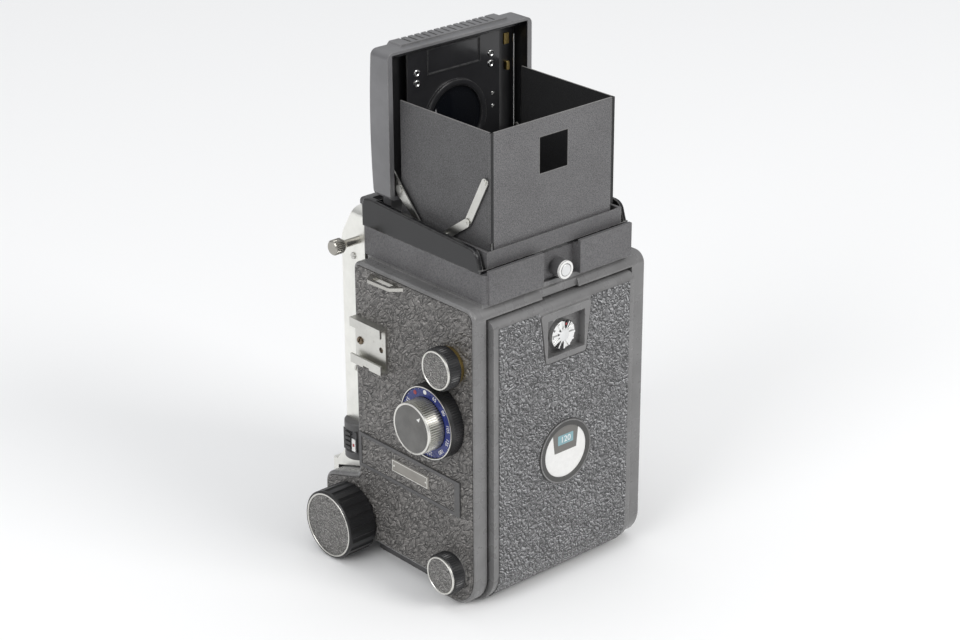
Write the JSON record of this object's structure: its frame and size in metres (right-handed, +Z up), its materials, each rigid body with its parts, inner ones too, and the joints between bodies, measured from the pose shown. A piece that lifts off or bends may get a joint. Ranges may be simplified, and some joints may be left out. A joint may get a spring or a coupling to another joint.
{
  "type": "twin lens reflex camera",
  "caption": "Rollfilm twin lens reflex camera with rack-focused bellows front, erected folding finder hood, grained covering, side knobs and bottom-hinged back.",
  "frame": {"origin": "mouth of the tripod socket, in the base plate's lower face", "axes": "+Z up, out of the base towards the finder; -Y towards the lenses, +Y towards the back door; +X to the left of somebody holding the camera"},
  "size_m": [0.1295, 0.1147, 0.235],
  "materials": {
    "satin_black_paint": "satin",
    "gloss_black_paint": "semi gloss",
    "crackle_black_paint": "fine crackle",
    "dark_inner_paint": "matt",
    "grained_leather": "coarse grain",
    "door_leather": "pebbled",
    "bellows_leather": "matt",
    "satin_chrome": "satin",
    "bright_chrome": "polished",
    "satin_steel": "brushed",
    "brass": "worn",
    "silver_plate": "satin",
    "black_plastic": "moulded",
    "white_enamel": "gloss",
    "grey_enamel": "satin",
    "optical_glass": "coated",
    "ground_glass": "matt",
    "silvered_glass": "polished"
  },
  "bodies": {
    "body": {"body_casting": "gloss_black_paint", "base_plate": "satin_black_paint", "tripod_bush": "satin_steel", "left_leather": "grained_leather", "right_leather": "grained_leather", "side_strip": "gloss_black_paint", "name_badge": "silver_plate", "strap_lug_left": "bright_chrome", "strap_lug_right": "bright_chrome", "accessory_shoe": "satin_steel", "film_gate": "dark_inner_paint", "reflex_mirror": "silvered_glass", "focusing_screen": "ground_glass", "selector_base": "gloss_black_paint", "door_hinge_pin": "satin_steel", "bellows": "bellows_leather"},
    "door": {"back_door": "gloss_black_paint", "door_leather": "door_leather", "window_bezel": "grey_enamel", "window_disc": "white_enamel"},
    "latch": {"door_latch": "bright_chrome"},
    "film_pressure": {"pressure_plate": "dark_inner_paint"},
    "upper_spool_pull": {"upper_spool_ring": "brass"},
    "upper_spool_turn": {"upper_spool_knob": "satin_black_paint"},
    "lower_spool_pull": {"lower_spool_ring": "brass"},
    "lower_spool_turn": {"lower_spool_knob": "satin_black_paint"},
    "supply": {"supply_spool": "black_plastic"},
    "winder": {"wind_crank": "satin_black_paint", "takeup_spool": "black_plastic"},
    "winder_grip": {"crank_handle": "bright_chrome"},
    "selector": {"selector_knob": "satin_steel"},
    "focus_drive": {"focus_shaft": "satin_steel", "focus_knob_left": "satin_black_paint", "focus_knob_right": "satin_black_paint"},
    "front": {"lens_standard": "satin_chrome", "standard_top_cover": "black_plastic", "side_housing": "black_plastic", "lens_board": "satin_black_paint", "viewing_barrel": "gloss_black_paint", "viewing_glass": "optical_glass", "taking_barrel": "gloss_black_paint", "taking_glass": "optical_glass", "focus_racks": "satin_steel"},
    "speed_ring": {"shutter_speed_ring": "satin_steel"},
    "cocking": {"cocking_lever": "bright_chrome"},
    "lens_lock": {"lens_lock_knob": "satin_steel"},
    "release": {"shutter_release": "bright_chrome"},
    "finder": {"finder_base": "satin_black_paint", "finder_cheeks": "gloss_black_paint", "hood_frame": "dark_inner_paint", "hood_lid": "satin_black_paint", "lid_stays": "bright_chrome"},
    "finder_button": {"release_button": "bright_chrome"},
    "hood_left": {"hood_side_left": "crackle_black_paint"},
    "hood_right": {"hood_side_right": "crackle_black_paint"},
    "hood_back": {"hood_rear": "crackle_black_paint"},
    "magnifier": {"magnifier_plate": "gloss_black_paint", "magnifier_lens": "optical_glass"},
    "stay_lower": {"stay_lower_links": "bright_chrome"},
    "stay_upper": {"stay_upper_links": "bright_chrome"}
  },
  "joints": [
    {"name": "door_hinge", "type": "hinge", "parent": "body", "child": "door", "pos_m": [0, 0.0225, 0.003], "axis": [-1, 0, 0], "range_deg": [0, 100]},
    {"name": "latch_turn", "type": "hinge", "parent": "door", "child": "latch", "pos_m": [0, 0.045, 0.1175], "axis": [0, -1, 0], "range_deg": [0, 90]},
    {"name": "pressure_plate_turn", "type": "hinge", "parent": "door", "child": "film_pressure", "pos_m": [0, 0.04, 0.0633], "axis": [0, 1, 0], "range_deg": [0, 90]},
    {"name": "upper_spool_knob_pull", "type": "slide", "parent": "body", "child": "upper_spool_pull", "axis": [1, 0, 0], "range_m": [0, 0.006]},
    {"name": "upper_spool_knob_turn", "type": "hinge", "parent": "upper_spool_pull", "child": "upper_spool_turn", "pos_m": [0.05, 0.0308, 0.1132], "axis": [1, 0, 0], "continuous": true},
    {"name": "lower_spool_knob_pull", "type": "slide", "parent": "body", "child": "lower_spool_pull", "axis": [1, 0, 0], "range_m": [0, 0.006]},
    {"name": "lower_spool_knob_turn", "type": "hinge", "parent": "lower_spool_pull", "child": "lower_spool_turn", "pos_m": [0.05, 0.0323, 0.0169], "axis": [1, 0, 0], "continuous": true},
    {"name": "supply_spool_turn", "type": "hinge", "parent": "body", "child": "supply", "pos_m": [0, 0.0323, 0.0169], "axis": [1, 0, 0], "continuous": true},
    {"name": "wind_crank_turn", "type": "hinge", "parent": "body", "child": "winder", "pos_m": [0, 0.0308, 0.1132], "axis": [-1, 0, 0], "continuous": true},
    {"name": "crank_grip_fold", "type": "hinge", "parent": "winder", "child": "winder_grip", "pos_m": [-0.0612, 0.0073, 0.1132], "axis": [0, 0, 1], "range_deg": [0, 90]},
    {"name": "selector_turn", "type": "hinge", "parent": "body", "child": "selector", "pos_m": [0.056, 0.0224, 0.0855], "axis": [1, 0, 0], "range_deg": [-150, 150]},
    {"name": "focus_slide", "type": "slide", "parent": "body", "child": "front", "axis": [0, -1, 0], "range_m": [0, 0.045]},
    {"name": "focus_knob_turn", "type": "hinge", "parent": "body", "child": "focus_drive", "pos_m": [0, -0.0362, 0.0162], "axis": [1, 0, 0], "range_deg": [-0.5, 435]},
    {"name": "shutter_speed_turn", "type": "hinge", "parent": "front", "child": "speed_ring", "pos_m": [0, -0.059, 0.065], "axis": [0, -1, 0], "range_deg": [-70, 70]},
    {"name": "cocking_lever_swing", "type": "hinge", "parent": "front", "child": "cocking", "pos_m": [0, -0.0557, 0.065], "axis": [0, 1, 0], "range_deg": [0, 40]},
    {"name": "lens_lock_turn", "type": "hinge", "parent": "front", "child": "lens_lock", "pos_m": [0.05, -0.0385, 0.1463], "axis": [1, 0, 0], "range_deg": [0, 90]},
    {"name": "shutter_release_press", "type": "slide", "parent": "body", "child": "release", "axis": [0, 1, 0], "range_m": [0, 0.0025], "stiffness_N_per_m": 600, "springref_m": -0.001},
    {"name": "finder_lift_off", "type": "slide", "parent": "body", "child": "finder", "axis": [0, 0, 1], "range_m": [0, 0.06]},
    {"name": "finder_button_press", "type": "slide", "parent": "finder", "child": "finder_button", "axis": [0, -1, 0], "range_m": [0, 0.0015], "stiffness_N_per_m": 700, "springref_m": -0.001},
    {"name": "hood_left_fold", "type": "hinge", "parent": "finder", "child": "hood_left", "pos_m": [0.0342, 0, 0.1595], "axis": [0, -1, 0], "range_deg": [0, 90]},
    {"name": "hood_right_fold", "type": "hinge", "parent": "finder", "child": "hood_right", "pos_m": [-0.0342, 0, 0.1605], "axis": [0, 1, 0], "range_deg": [0, 90]},
    {"name": "hood_rear_fold", "type": "hinge", "parent": "finder", "child": "hood_back", "pos_m": [0, 0.0396, 0.1583], "axis": [1, 0, 0], "range_deg": [0, 90]},
    {"name": "magnifier_swing", "type": "hinge", "parent": "finder", "child": "magnifier", "pos_m": [0, -0.0223, 0.2305], "axis": [1, 0, 0], "range_deg": [0, 90]},
    {"name": "stay_lower_turn", "type": "hinge", "parent": "finder", "child": "stay_lower", "pos_m": [0.0363, 0.014, 0.1628], "axis": [1, 0, 0], "range_deg": [-40.2, 0]},
    {"name": "stay_upper_turn", "type": "hinge", "parent": "stay_lower", "child": "stay_upper", "pos_m": [0.036, 0.0267, 0.1717], "axis": [1, 0, 0], "range_deg": [0, 159.7]}
  ],
  "couplings": [
    {"joint": "focus_knob_turn", "follows": "focus_slide", "rad_per_m": 166.67},
    {"joint": "stay_lower_turn", "follows": "hood_rear_fold", "ratio": -0.44444},
    {"joint": "stay_upper_turn", "follows": "hood_rear_fold", "ratio": 1.7722}
  ]
}
